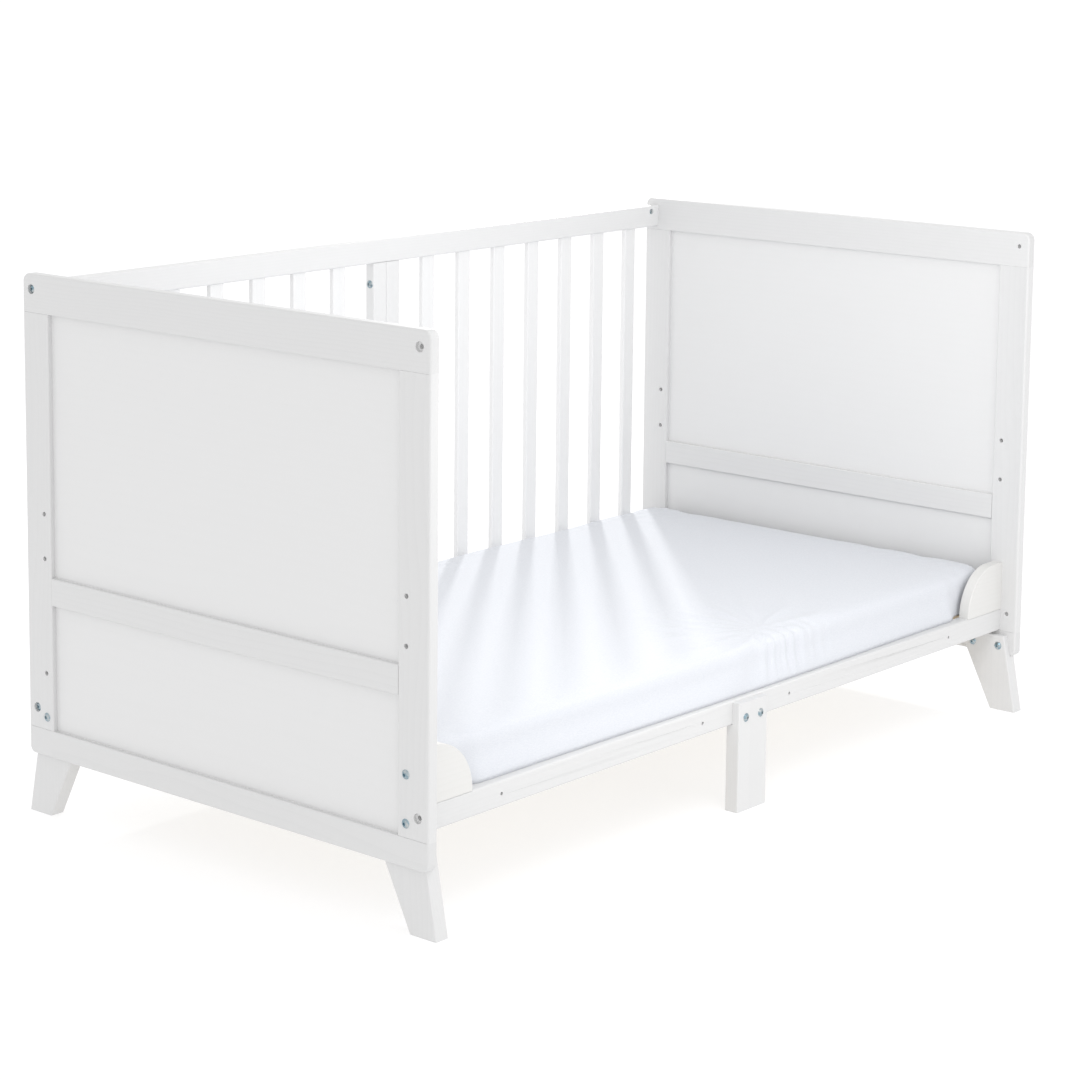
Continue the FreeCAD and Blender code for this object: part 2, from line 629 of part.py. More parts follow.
def base_long_rail(name, side, face, front):
    """Half of a long base rail: lip for the laths, nut and bolt holes, dowel holes."""
    y = outward(front, BASE_INNER_Y, BASE_Y)
    width = "(base_rail_thickness + lath_bearing)"
    spans = (HALF, width, "base_rail_height")
    body = board(f"base_{face}_rail_{name}", "Y", spans, (half_x(side), y, "base_level"))
    lip = "base_rail_thickness" if front < 0 else "0"
    sketch = sketch_across(body, "X", "0")
    rectangle(sketch, lip, CROSS_RAIL_HEIGHT, f"{lip} + lath_bearing", "base_rail_height")
    carve(body, "X", sketch, HALF)
    bolt_y = from_outside(front, "base_rail_thickness / 2", width)
    nut_and_bolt_bores(body, side, width, -front, bolt_y, "base_rail_height / 2")
    start = f"{width} - dowel_length / 2" if front < 0 else "0"
    spots = [(along(side, f"{HALF} - {low} - cross_rail_thickness / 2"), "cross_dowel_level")
             for low in CROSS_X.values()]
    drill(body, "Y", start, "dowel_length / 2", "dowel_diameter", spots)
    if front < 0:
        pilots = [(along(side, f"{HALF} - rail_hole_offset - {step} * rail_hole_spacing"),
                   "base_rail_height / 2") for step in (0, 1)]
        drill(body, "Y", "0", "rail_hole_depth", "rail_hole_diameter", pilots)
        drill(body, "Y", "0", "base_rail_thickness", "bolt_diameter",
              [(along(side, f"{HALF} - middle_bolt_spacing / 2"), "middle_bolt_rise")])
    ease(body, "X", "edge_radius", Y="min" if front < 0 else "max")
    return finish(body)


def base_cross_rail(name, side, label):
    """Cross rail of half of the base frame. The two middle ones are bolted to each other."""
    low = CROSS_X[label]
    x = outward(side, low, f"{low} + cross_rail_thickness")
    spans = ("cross_rail_thickness", f"(2 * {BASE_INNER_Y})", CROSS_RAIL_HEIGHT)
    body = board(f"base_{label}_rail_{name}", "X", spans, (x, f"-{BASE_INNER_Y}", "base_level"))
    spot = [("cross_rail_thickness / 2", "cross_dowel_level")]
    drill(body, "Y", "0", "dowel_length / 2", "dowel_diameter", spot)
    drill(body, "Y", f"2 * {BASE_INNER_Y} - dowel_length / 2", "dowel_length / 2", "dowel_diameter", spot)
    if label == "middle":
        drill(body, "X", "0", "cross_rail_thickness", "sleeve_hole_diameter",
              [(f"{BASE_INNER_Y} {sign} joining_bolt_spread / 2", f"{CROSS_RAIL_HEIGHT} / 2") for sign in "-+"])
    ease(body, "Y", "inner_edge_radius", Z="min")
    return finish(body)


def base_laths():
    """The laths that carry the mattress, evenly spaced, with their ends on the long rails' ledges."""
    length = f"(2 * ({BASE_INNER_Y} + lath_bearing - lath_play))"
    laths = []
    for index in range(LATHS):
        lath = doc.addObject("Part::Box", f"lath_{index + 1:02d}")
        lath.setExpression("Length", formula("lath_width"))
        lath.setExpression("Width", formula(length))
        lath.setExpression("Height", formula("lath_thickness"))
        middle = f"inner_length * ({index} + 0.5) / {LATHS} - {HALF}"
        for axis, text in zip("xyz", (f"{middle} - lath_width / 2", f"-{length} / 2", LATH_Z)):
            lath.setExpression(f"Placement.Base.{axis}", formula(text))
        laths.append(lath)
    group = doc.addObject("Part::Compound", "base_laths")
    group.Label = "base_laths"
    group.Links = laths
    doc.recompute()
    return finish(group)


def mattress_guard(name, side):
    """Quarter-round board standing on the front rail, which keeps the mattress from sliding out."""
    x = outward(side, f"{HALF} - guard_length", HALF)
    body = new_body(f"mattress_guard_{name}", x, f"-{BASE_Y}", BASE_TOP)
    sketch = sketch_across(body, "Y", "0")
    rectangle(sketch, "0", "0", "guard_length", "guard_height")
    grow(body, "Y", sketch, "guard_thickness")
    ease(body, "Y", "guard_height - edge_radius", Z="max", X="max" if side < 0 else "min")
    bolt_y = f"{BASE_Y} - {BASE_BOLT_Y}"
    start = "0" if side < 0 else "guard_length - end_bore_depth"
    drill(body, "X", start, "end_bore_depth", "bolt_hole_diameter", [(bolt_y, GUARD_BOLT_Z)])
    nut_x = from_outside(side, "nut_setback", "guard_length")
    nut_bore(body, "guard_thickness", 1, bolt_y, (nut_x, GUARD_BOLT_Z))
    panel_x = 0 if side < 0 else value("guard_length")

    def on_faces(edge):
        span = edge.BoundBox
        at_panel = abs(span.XMin - panel_x) < 0.001 and span.XLength < 0.001
        return span.YLength < 0.001 and not edge.Closed and span.ZMax > 0.001 and not at_panel
    round_edges(body, "inner_edge_radius", edge_names(body, on_faces))
    return finish(body)


def base_frame():
    """Base frame in two halves, its laths and the two mattress guards."""
    for name, side in SIDES:
        for face, front in BACK_FRONT:
            base_long_rail(name, side, face, front)
        for label in CROSS_X:
            base_cross_rail(name, side, label)
        mattress_guard(name, side)
    base_laths()


# ---- fasteners -----------------------------------------------------------------------------

def domed_bolt(length, across=0.0):
    """Domed bolt along +X from its head's seat at the origin. A size across makes it a sleeve nut."""
    radius = value("bolt_head_diameter") / 2
    height = value("bolt_head_height")
    ball = (radius ** 2 + height ** 2) / (2 * height)
    axis = FreeCAD.Vector(1, 0, 0)
    start = FreeCAD.Vector(0, 0, 0)
    dome = Part.makeSphere(ball, FreeCAD.Vector(ball - height, 0, 0))
    dome = dome.common(Part.makeCylinder(radius, height, FreeCAD.Vector(-height, 0, 0), axis))
    shank_diameter = across or value("bolt_diameter")
    body = dome.fuse(Part.makeCylinder(shank_diameter / 2, length, start, axis)).removeSplitter()
    corner = value("hex_socket_width") / math.sqrt(3)
    turns = [math.radians(60 * step) for step in range(7)]
    corners = [FreeCAD.Vector(-height, corner * math.cos(turn), corner * math.sin(turn)) for turn in turns]
    socket = Part.Face(Part.makePolygon(corners)).extrude(axis * value("hex_socket_depth"))
    body = body.cut(socket)
    if across:
        bore_start = FreeCAD.Vector(value("joining_play") / 2, 0, 0)
        body = body.cut(Part.makeCylinder(value("bolt_diameter") / 2, length, bore_start, axis))
    return body


def barrel_nut():
    """Barrel nut along +Y from the origin, with its thread across it at half its length."""
    barrel = Part.makeCylinder(
        value("nut_diameter") / 2, value("nut_length"), FreeCAD.Vector(0, 0, 0), FreeCAD.Vector(0, 1, 0))
    reach = value("nut_diameter")
    start = FreeCAD.Vector(-reach, value("nut_length") / 2, 0)
    thread = Part.makeCylinder(value("bolt_diameter") / 2, 2 * reach, start, FreeCAD.Vector(1, 0, 0))
    return barrel.cut(thread)


def dowel(axis):
    """Dowel along an axis, with its middle at the origin."""
    length = value("dowel_length")
    return Part.makeCylinder(value("dowel_diameter") / 2, length, axis * (-length / 2), axis)


def placed(shape, x, y, z, turn=None):
    """A copy of a fastener at a place given by formulas, turned about its own origin first."""
    copy = shape.copy()
    if turn:
        axis, angle = turn
        copy.rotate(FreeCAD.Vector(0, 0, 0), axis, angle)
    copy.translate(FreeCAD.Vector(value(x), value(y), value(z)))
    return copy


def fastener_group(label, shapes):
    """One node that holds identical fasteners as separate solids."""
    group = doc.addObject("Part::Feature", label)
    group.Label = label
    group.Shape = Part.makeCompound(shapes)
    group.Placement = FreeCAD.Placement()
    return finish(group)


UPRIGHT = FreeCAD.Vector(0, 0, 1)
LENGTHWISE = FreeCAD.Vector(1, 0, 0)
CROSSWISE = FreeCAD.Vector(0, 1, 0)
HALF_TURN = (UPRIGHT, 180)

# Bolts through an end frame: place across it, height, and how deep the head's seat is.
FRAME_BOLTS = (
    (f"-{BASE_BOLT_Y}", BASE_BOLT_LEVELS[0], "0"),
    (f"-{BASE_BOLT_Y}", BASE_BOLT_LEVELS[1], "0"),
    (BASE_BOLT_Y, BASE_BOLT_LEVELS[0], "0"),
    (SIDE_BOLT_Y, SIDE_BOLT_LEVELS[0], "counterbore_depth"),
    (SIDE_BOLT_Y, SIDE_BOLT_LEVELS[1], "counterbore_depth"),
)


def frame_bolts_and_nuts():
    """The bolts through both end frames, with a barrel nut on each."""
    bolt = domed_bolt(value("frame_bolt_length"))
    nut = barrel_nut()
    bolts, nuts = [], []
    for _, side in SIDES:
        for y, z, sunk in FRAME_BOLTS:
            seat = f"{side} * ({HALF} + frame_thickness - {sunk})"
            bolts.append(placed(bolt, seat, y, z, HALF_TURN if side > 0 else None))
            nuts.append(placed(nut, f"{side} * ({HALF} - nut_setback)", f"{y} - nut_length / 2", z))
    fastener_group("panel_bolts", bolts)
    fastener_group("barrel_nuts", nuts)


def leg_bolt_groups():
    """Two bolts for each corner leg and two for the middle leg."""
    bolt = domed_bolt(value(f"leg_lap + {LEG_BORE}"))
    bolts = []
    for _, side in SIDES:
        for y in LEG_BOLT_PLACES:
            seat = f"{side} * ({HALF} - leg_lap)"
            bolts.append(placed(bolt, seat, y, "leg_bolt_level", HALF_TURN if side < 0 else None))
    fastener_group("leg_bolts", bolts)
    short = domed_bolt(value("middle_leg_front + base_rail_thickness"))
    fastener_group("middle_leg_bolts", [
        placed(short, f"{side} * middle_bolt_spacing / 2", f"-({BASE_Y} + middle_leg_front)",
               "base_level + middle_bolt_rise", (UPRIGHT, 90)) for _, side in SIDES])


def joining_bolts_and_nuts():
    """Bolts and sleeve nuts that hold the two halves of the barred side and of the base together."""
    joints = [("post_width", SIDE_BOLT_Y, level) for level in POST_BOLT_LEVELS]
    joints += [("cross_rail_thickness", f"{sign}joining_bolt_spread / 2",
                f"base_level + {CROSS_RAIL_HEIGHT} / 2") for sign in ("-", "")]
    bolts, nuts = [], []
    for thickness, y, z in joints:
        bolts.append(placed(domed_bolt(value(f"2 * {thickness} - joining_play")), f"-{thickness}", y, z))
        sleeve = domed_bolt(value(thickness), value("sleeve_diameter"))
        nuts.append(placed(sleeve, thickness, y, z, HALF_TURN))
    fastener_group("joining_bolts", bolts)
    fastener_group("sleeve_nuts", nuts)


def dowels():
    """All glued dowels: stile to rail, middle rail to stile, and cross rail to long rail."""
    upright, crosswise = dowel(UPRIGHT), dowel(CROSSWISE)
    found = []
    for _, side in SIDES:
        x = f"{side} * ({HALF} + frame_thickness / 2)"
        for _, front in BACK_FRONT:
            for sign in "+-":
                y = f"{front} * ({EDGE_Y} - stile_width / 2) {sign} dowel_spread / 2"
                found += [placed(upright, x, y, level) for level in (STILE_Z, TOP_RAIL_Z)]
            found.append(placed(crosswise, x, f"{front} * {OPENING} / 2", "mid_rail_level + mid_rail_height / 2"))
            for low in CROSS_X.values():
                found.append(placed(crosswise, f"{side} * ({low} + cross_rail_thickness / 2)",
                                    f"{front} * {BASE_INNER_Y}", "base_level + cross_dowel_level"))
    fastener_group("dowels", found)


# ---- mattress ------------------------------------------------------------------------------

MATTRESS_FRONT = f"(guard_thickness - {BASE_Y} + mattress_front_gap)"
MATTRESS_WIDTH = f"({SIDE_Y} - mattress_back_gap - {MATTRESS_FRONT})"
MATTRESS_LENGTH = "(inner_length - 2 * mattress_end_gap)"


def rounded_slab(label, inset):
    """Mattress-shaped slab, drawn in on every side by an inset."""
    body = new_body(label, f"-{MATTRESS_LENGTH} / 2 + {inset}", f"{MATTRESS_FRONT} + {inset}",
                    f"{BASE_TOP} + {inset}")
    sketch = sketch_across(body, "Z", "0")
    rectangle(sketch, "0", "0", f"{MATTRESS_LENGTH} - 2 * {inset}", f"{MATTRESS_WIDTH} - 2 * {inset}")
    grow(body, "Z", sketch, f"mattress_thickness - 2 * {inset}")
    ease(body, "Z", f"mattress_corner_radius - {inset}")
    rims = ((0, "mattress_lower_radius"), (value(f"mattress_thickness - 2 * {inset}"), "mattress_edge_radius"))
    for level, radius in rims:
        names = edge_names(body, lambda edge: edge.BoundBox.ZLength < 0.001
                           and abs(edge.BoundBox.ZMin - level) < 0.001)
        round_edges(body, f"{radius} - {inset}", names)
    return body


def mattress():
    """Foam core in a fitted sheet that wraps under it all round and is open in the middle below."""
    core = finish(rounded_slab("mattress_core", "sheet_thickness"))
    wrap = rounded_slab("sheet_outside", "0")
    slot(wrap, "Z", "0", "sheet_thickness",
         [("sheet_tuck", "sheet_tuck", f"{MATTRESS_LENGTH} - sheet_tuck", f"{MATTRESS_WIDTH} - sheet_tuck")])
    cover = doc.addObject("Part::Cut", "fitted_sheet")
    cover.Label = "fitted_sheet"
    cover.Base = wrap
    cover.Tool = core
    doc.recompute()
    finish(cover)


def check_document():
    """Stops if any object failed or any piece is empty or broken."""
    for item in doc.Objects:
        if {"Invalid", "Error"} & set(item.State):
            raise RuntimeError(f"{item.Label} failed: {item.State}")
    for piece in pieces:
        if piece.Shape.isNull() or not piece.Shape.isValid() or not piece.Shape.Solids:
            raise RuntimeError(f"{piece.Label} has no valid solid")


for end_name, end_side in SIDES:
    end_frame(end_name, end_side)
    for leg_face, leg_front in BACK_FRONT:
        corner_leg(end_name, end_side, leg_face, leg_front)
middle_leg()
barred_side()
base_frame()
frame_bolts_and_nuts()
leg_bolt_groups()
joining_bolts_and_nuts()
dowels()
mattress()
doc.recompute()
check_document()
os.makedirs("parts", exist_ok=True)
for piece in pieces:
    piece.Shape.exportStep(f"parts/{piece.Label}.step")
print(f"{len(pieces)} pieces written")
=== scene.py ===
"""Looks of a slatted toddler bed: white-glazed pine, zinc bolts and a foam mattress in a cotton sheet."""
import logging
import math
from collections.abc import Callable, Iterable
from dataclasses import dataclass, field
from enum import Enum

import bmesh
import bpy
from mathutils import Matrix, Vector, noise


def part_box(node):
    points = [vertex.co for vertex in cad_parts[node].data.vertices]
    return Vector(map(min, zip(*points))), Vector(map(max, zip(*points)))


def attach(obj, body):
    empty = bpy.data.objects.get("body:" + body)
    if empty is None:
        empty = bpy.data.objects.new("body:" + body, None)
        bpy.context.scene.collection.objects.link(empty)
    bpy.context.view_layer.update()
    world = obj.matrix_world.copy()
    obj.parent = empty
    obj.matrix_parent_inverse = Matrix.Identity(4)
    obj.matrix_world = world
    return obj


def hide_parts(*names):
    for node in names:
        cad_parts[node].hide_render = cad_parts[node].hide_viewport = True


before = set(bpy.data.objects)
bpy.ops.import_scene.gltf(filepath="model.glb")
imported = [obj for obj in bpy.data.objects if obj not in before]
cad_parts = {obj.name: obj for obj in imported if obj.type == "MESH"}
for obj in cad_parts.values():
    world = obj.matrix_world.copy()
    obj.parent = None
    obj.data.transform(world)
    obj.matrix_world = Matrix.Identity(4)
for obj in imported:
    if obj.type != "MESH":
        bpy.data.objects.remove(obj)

log = logging.getLogger("toddler_bed")
Colour = tuple[float, float, float]
MM = 0.001


class Grain(Enum):
    """Row axis that a board's fibres run along."""

    LENGTH = 0
    DEPTH = 1
    HEIGHT = 2


# ---- shader building -----------------------------------------------------------------------

class Channel:
    """A number, vector or colour in a material, on which ordinary operators work."""

    def __init__(self, recipe: "Recipe", socket: bpy.types.NodeSocket) -> None:
        """Wraps an output socket.

        Args:
            recipe: The material's recipe that the socket belongs to.
            socket: The node output.
        """
        self.recipe = recipe
        self.socket = socket

    def _sum(self, operation: str, first: object, second: object = None) -> "Channel":
        """Adds one Math node.

        Args:
            operation: The Math node's operation.
            first: Its first value or channel.
            second: Its second value or channel, if the operation takes one.

        Returns:
            The result.
        """
        values = {0: first} if second is None else {0: first, 1: second}
        return self.recipe.node("ShaderNodeMath", {"operation": operation}, values)

    def __add__(self, other: object) -> "Channel":
        """self + other."""
        return self._sum("ADD", self, other)

    def __radd__(self, other: object) -> "Channel":
        """other + self."""
        return self._sum("ADD", other, self)

    def __sub__(self, other: object) -> "Channel":
        """self - other."""
        return self._sum("SUBTRACT", self, other)

    def __rsub__(self, other: object) -> "Channel":
        """other - self."""
        return self._sum("SUBTRACT", other, self)

    def __mul__(self, other: object) -> "Channel":
        """self * other."""
        return self._sum("MULTIPLY", self, other)

    def __rmul__(self, other: object) -> "Channel":
        """other * self."""
        return self._sum("MULTIPLY", other, self)

    def __truediv__(self, other: object) -> "Channel":
        """self / other."""
        return self._sum("DIVIDE", self, other)

    def __pow__(self, other: object) -> "Channel":
        """self ** other."""
        return self._sum("POWER", self, other)

    def __abs__(self) -> "Channel":
        """Size without sign."""
        return self._sum("ABSOLUTE", self)

    def part(self) -> "Channel":
        """What is left after the whole number below it."""
        return self._sum("FRACT", self)

    def root(self) -> "Channel":
        """Square root."""
        return self._sum("SQRT", self)

    def beyond(self, low: float, high: float) -> "Channel":
        """Smooth step.

        Args:
            low: Value where it leaves 0.
            high: Value where it reaches 1.

        Returns:
            The stepped value, from 0 to 1.
        """
        settings = {"interpolation_type": "SMOOTHSTEP"}
        return self.recipe.node("ShaderNodeMapRange", settings, {0: self, 1: low, 2: high})


class Recipe:
    """One material's node tree, written as expressions."""

    def __init__(self, name: str) -> None:
        """Starts an empty material.

        Args:
            name: The material's name.
        """
        self.material = bpy.data.materials.new(name)
        self.material.use_nodes = True
        self.tree = self.material.node_tree
        self.tree.nodes.clear()

    def node(self, kind: str, settings: dict[str, object] | None = None,
             inputs: dict[int | str, object] | None = None, output: int | str = 0) -> "Channel | None":
        """Adds a node.

        Args:
            kind: The node's type.
            settings: Its own settings, made before its sockets are touched.
            inputs: A value or a channel for each named or numbered input.
            output: Which output comes back.

        Returns:
            That output as a channel. The end node of a material has none and gives None.
        """
        made = self.tree.nodes.new(kind)
        for key, value in (settings or {}).items():
            setattr(made, key, value)
        for key, value in (inputs or {}).items():
            if isinstance(value, Channel):
                self.tree.links.new(value.socket, made.inputs[key])
            else:
                made.inputs[key].default_value = value
        return Channel(self, made.outputs[output]) if made.outputs else None

    def place(self) -> tuple[Channel, Channel, Channel]:
        """The surface point's X, Y and Z in metres."""
        spot = self.node("ShaderNodeTexCoord", output="Object")
        return tuple(self.node("ShaderNodeSeparateXYZ", inputs={0: spot}, output=axis) for axis in range(3))

    def facing(self, axis: Grain) -> Channel:
        """How squarely the surface faces along an axis, from 0 to 1."""
        normal = self.node("ShaderNodeTexCoord", output="Normal")
        return abs(self.node("ShaderNodeSeparateXYZ", inputs={0: normal}, output=axis.value))

    def vector(self, x: object, y: object, z: object) -> Channel:
        """Joins three numbers to a vector."""
        return self.node("ShaderNodeCombineXYZ", inputs={0: x, 1: y, 2: z})

    def noise(self, vector: Channel, detail: float = 2.0, roughness: float = 0.5) -> Channel:
        """Smooth noise about a size of one unit, from 0 to 1.

        Args:
            vector: Where it is read, already scaled.
            detail: Octaves of finer noise.
            roughness: Weight of the finer octaves.

        Returns:
            The noise value.
        """
        values = {"Vector": vector, "Scale": 1.0, "Detail": detail, "Roughness": roughness}
        return self.node("ShaderNodeTexNoise", inputs=values, output="Fac")

    def blend(self, share: object, first: object, second: object) -> Channel:
        """Mixes two colours.

        Args:
            share: How much of the second.
            first: A colour or channel.
            second: A colour or channel.

        Returns:
            The mixed colour.
        """
        first, second = (value if isinstance(value, Channel) else (*value, 1) for value in (first, second))
        inputs = {MIX_SHARE: share, MIX_FIRST: first, MIX_SECOND: second}
        return self.node("ShaderNodeMix", {"data_type": "RGBA"}, inputs, output=MIX_RESULT)

    def finish(self, inputs: dict[str, object], height: Channel | None = None,
               depth: float = 0.0, strength: float = 1.0) -> bpy.types.Material:
        """Closes the material with its surface shader.

        Args:
            inputs: Values and channels of the shader's sockets.
            height: Relief from 0 to 1, if any.
            depth: How far the relief stands, in metres.
            strength: Share of the relief that shows.

        Returns:
            The finished material.
        """
        if height is not None:
            inputs = dict(inputs)
            relief = {"Strength": strength, "Distance": depth, "Height": height}
            inputs["Normal"] = self.node("ShaderNodeBump", inputs=relief)
        surface = self.node("ShaderNodeBsdfPrincipled", inputs=inputs)
        self.node("ShaderNodeOutputMaterial", inputs={0: surface})
        return self.material


# ---- finishes ------------------------------------------------------------------------------

# Sockets of the colour Mix node.
MIX_SHARE, MIX_FIRST, MIX_SECOND, MIX_RESULT = 0, 6, 7, 2

# How growth rings lie in a sawn board, in metres.
PITH_DEPTH = 0.055
PITH_STEP = 0.017
PITH_STEPS = 3
RING_WANDER = 0.045
CUT_STEP = 0.013
CUT_START = 0.02

# Softwood's features along and across the fibres, per metre.
PINE_FIBRE = (26, 1250)
PINE_CLOUD = (5, 40)
PINE_WANDER = (1.3, 9)
BARE_FIBRE = (30, 1500)
BARE_WANDER = (2.1, 7)


@dataclass(frozen=True)
class GlazedPine:
    """Satin white glaze on softwood, thin enough for the growth rings and fibres to show.

    Attributes:
        name: Start of the material's name.
        glaze: Colour of the glaze over early wood.
        veiled: Colour where darker late wood shows through.
        ring: Spacing of the growth rings, in metres.
        contrast: How strongly the rings show.
        relief: How far the raised grain stands, in metres.
        gloss: Roughness of the glaze.
    """

    name: str
    glaze: Colour
    veiled: Colour
    ring: float = 4.2 * MM
    contrast: float = 0.26
    relief: float = 0.09 * MM
    gloss: float = 0.36

    def material(self, grain: Grain, cut: int) -> bpy.types.Material:
        """Makes the finish for boards whose fibres run one way.

        Args:
            grain: The fibres' direction.
            cut: Which part of the tree the boards come from, so that no two look alike.

        Returns:
            The material.
        """
        recipe = Recipe(f"{self.name}_{grain.name.lower()}_{cut}")
        axes = list(recipe.place())
        along = axes.pop(grain.value)
        across, through = axes
        slow, quick = PINE_WANDER
        drift = recipe.vector(along * slow + 7.3 * cut, across * quick + cut, through * quick)
        wander = recipe.noise(drift, 2.0)
        pith = PITH_DEPTH + PITH_STEP * (cut % PITH_STEPS)
        side = across + (wander - 0.5) * RING_WANDER + (CUT_STEP * cut - CUT_START)
        radius = (side * side + (through + pith) * (through + pith)).root()
        ring = (radius / self.ring).part()
        late = ring ** 3.0 * (1 - ring.beyond(0.93, 1.0))
        slow, quick = PINE_FIBRE
        fibre = recipe.noise(recipe.vector(along * slow, across * quick, through * quick), 2.0, 0.6)
        slow, quick = PINE_CLOUD
        cloud = recipe.noise(recipe.vector(along * slow + cut, across * quick, through * quick), 3.0)
        end = recipe.facing(grain).beyond(0.75, 0.95)
        show = (late * 0.75 + (fibre - 0.42) * 0.75 + (cloud - 0.5) * 0.5) * self.contrast
        colour = recipe.blend(show, self.glaze, self.veiled)
        colour = recipe.blend(end * 0.35, colour, self.veiled)
        inputs = {
            "Base Color": colour,
            "Roughness": self.gloss + fibre * 0.14 + end * 0.12,
            "Coat Weight": 0.12,
            "Coat Roughness": 0.3,
        }
        height = late * 0.55 + fibre * 0.45
        return recipe.finish(inputs, height, self.relief, 0.55)


@dataclass(frozen=True)
class BareWood:
    """Planed softwood without any finish.

    Attributes:
        name: Start of the material's name.
        early: Colour of the early wood.
        late: Colour of the late wood.
        ring: Spacing of the growth rings, in metres.
    """

    name: str
    early: Colour
    late: Colour
    ring: float = 3.6 * MM

    def material(self, grain: Grain, cut: int) -> bpy.types.Material:
        """Makes the finish.

        Args:
            grain: The fibres' direction.
            cut: Which part of the tree the boards come from.

        Returns:
            The material.
        """
        recipe = Recipe(f"{self.name}_{grain.name.lower()}_{cut}")
        axes = list(recipe.place())
        along = axes.pop(grain.value)
        across, through = axes
        slow, quick = BARE_WANDER
        wander = recipe.noise(recipe.vector(along * slow + cut, across * quick, through * quick), 2.0)
        ring = ((across + wander * 0.06 + through * 0.4) / self.ring).part()
        slow, quick = BARE_FIBRE
        fibre = recipe.noise(recipe.vector(along * slow, across * quick, through * quick), 2.0, 0.65)
        colour = recipe.blend(ring ** 2.0 * 0.8 + (fibre - 0.4) * 0.5, self.early, self.late)
        inputs = {"Base Color": colour, "Roughness": 0.62 + fibre * 0.2}
        return recipe.finish(inputs, ring * 0.4 + fibre * 0.6, 0.15 * MM, 0.7)


@dataclass(frozen=True)
class ZincPlate:
    """Bright zinc with a bluish passivation that varies from patch to patch.

    Attributes:
        cool: Bluish tone of the plating.
        warm: Greyer tone of the plating.
        gloss: Lowest roughness.
    """

    cool: Colour = (0.24, 0.35, 0.41)
    warm: Colour = (0.52, 0.54, 0.54)
    gloss: float = 0.2

    def material(self) -> bpy.types.Material:
        """Makes the finish."""
        recipe = Recipe("bright_zinc")
        x, y, z = recipe.place()
        patch = recipe.noise(recipe.vector(x * 190, y * 190, z * 190), 3.0, 0.6)
        turning = recipe.noise(recipe.vector(x * 500, y * 3800, z * 3800), 2.0, 0.6)
        inputs = {
            "Base Color": recipe.blend(patch.beyond(0.35, 0.7), self.cool, self.warm),
            "Metallic": 1.0,
            "Roughness": self.gloss + turning * 0.22,
        }
        return recipe.finish(inputs, turning, 0.03 * MM, 0.5)


@dataclass(frozen=True)
class SheetCotton:
    """Closely woven cotton, very slightly blue, with a soft nap and painted shade between its threads.

    Attributes:
        light: Colour of the raised threads.
        hollow: Colour between the threads, darker as painted shade in the gaps.
        thread: Spacing of the threads, in metres.
    """

    light: Colour = (0.712, 0.727, 0.762)
    hollow: Colour = (0.64, 0.66, 0.705)
    thread: float = 0.7 * MM

    def material(self, name: str) -> bpy.types.Material:
        """Makes the finish.

        Args:
            name: The material's name.

        Returns:
            The material.
        """
        recipe = Recipe(name)
        x, y, z = recipe.place()
        fine = 1 / self.thread
        warp = recipe.noise(recipe.vector(x * fine, y * fine * 0.16, z * fine), 1.0)
        weft = recipe.noise(recipe.vector(x * fine * 0.16, y * fine, z * fine), 1.0)
        slub = recipe.noise(recipe.vector(x * 55, y * 160, z * 160), 2.0)
        creased = recipe.noise(recipe.vector(x * 24, y * 34, z * 34), 3.0, 0.55)
        thread = (warp + weft) * 0.5
        # Painted shade: the gaps between the raised threads are darkened towards the hollow colour.
        inputs = {
            "Base Color": recipe.blend(thread.beyond(0.3, 0.7), self.hollow, self.light),
            "Roughness": 0.86 + (slub - 0.5) * 0.1,
            "Sheen Weight": 0.18,
            "Sheen Roughness": 0.5,
        }
        height = thread * 0.3 + slub * 0.15 + creased * 0.55
        return recipe.finish(inputs, height, 0.9 * MM, 0.35)


@dataclass(frozen=True)
class MattressFoam:
    """Open-cell foam with a slightly yellow tone and painted shade in its pores.

    Attributes:
        skin: Colour of the cell walls.
        pore_shade: Painted shade in the hollow cells, a darker tone of the foam than its cell walls.
        cell: Size of a cell, in metres.
    """

    skin: Colour = (0.82, 0.80, 0.72)
    pore_shade: Colour = (0.6, 0.58, 0.5)
    cell: float = 1.4 * MM

    def material(self) -> bpy.types.Material:
        """Makes the finish."""
        recipe = Recipe("open_foam")
        x, y, z = recipe.place()
        fine = 1 / self.cell
        spot = recipe.vector(x * fine, y * fine, z * fine)
        wall = recipe.node("ShaderNodeTexVoronoi", {"feature": "DISTANCE_TO_EDGE"},
                           {"Vector": spot, "Scale": 1.0}, "Distance")
        # Mask of the cell hollows, used both for the relief and for the painted shade in them.
        pore_hollow_shade = wall.beyond(0.05, 0.35)
        tone = recipe.noise(recipe.vector(x * 12, y * 12, z * 12), 3.0)
        # Painted shade: the cell hollows are darkened towards the pore colour.
        inputs = {
            "Base Color": recipe.blend(pore_hollow_shade * 0.6 + tone * 0.25, self.skin, self.pore_shade),
            "Roughness": 0.95,
        }
        return recipe.finish(inputs, 1 - pore_hollow_shade, 0.5 * MM, 0.6)


@dataclass(frozen=True)
class StudioFloor:
    """Plain pale floor with the faintest mottling.

    Attributes:
        pale: Its colour.
        mottled: Its slightly darker patches.
        glow: Even light from below, which keeps the shadows on it soft.
    """

    pale: Colour = (0.33, 0.33, 0.335)
    mottled: Colour = (0.32, 0.32, 0.325)
    glow: float = 0.71

    def material(self) -> bpy.types.Material:
        """Makes the finish."""
        recipe = Recipe("studio_floor")
        x, y, _ = recipe.place()
        patch = recipe.noise(recipe.vector(x * 3, y * 3, 0.0), 2.0)
        inputs = {
            "Base Color": recipe.blend(patch, self.pale, self.mottled),
            "Roughness": 0.9,
            "Emission Color": (1, 1, 1, 1),
            "Emission Strength": self.glow,
        }
        return recipe.finish(inputs)


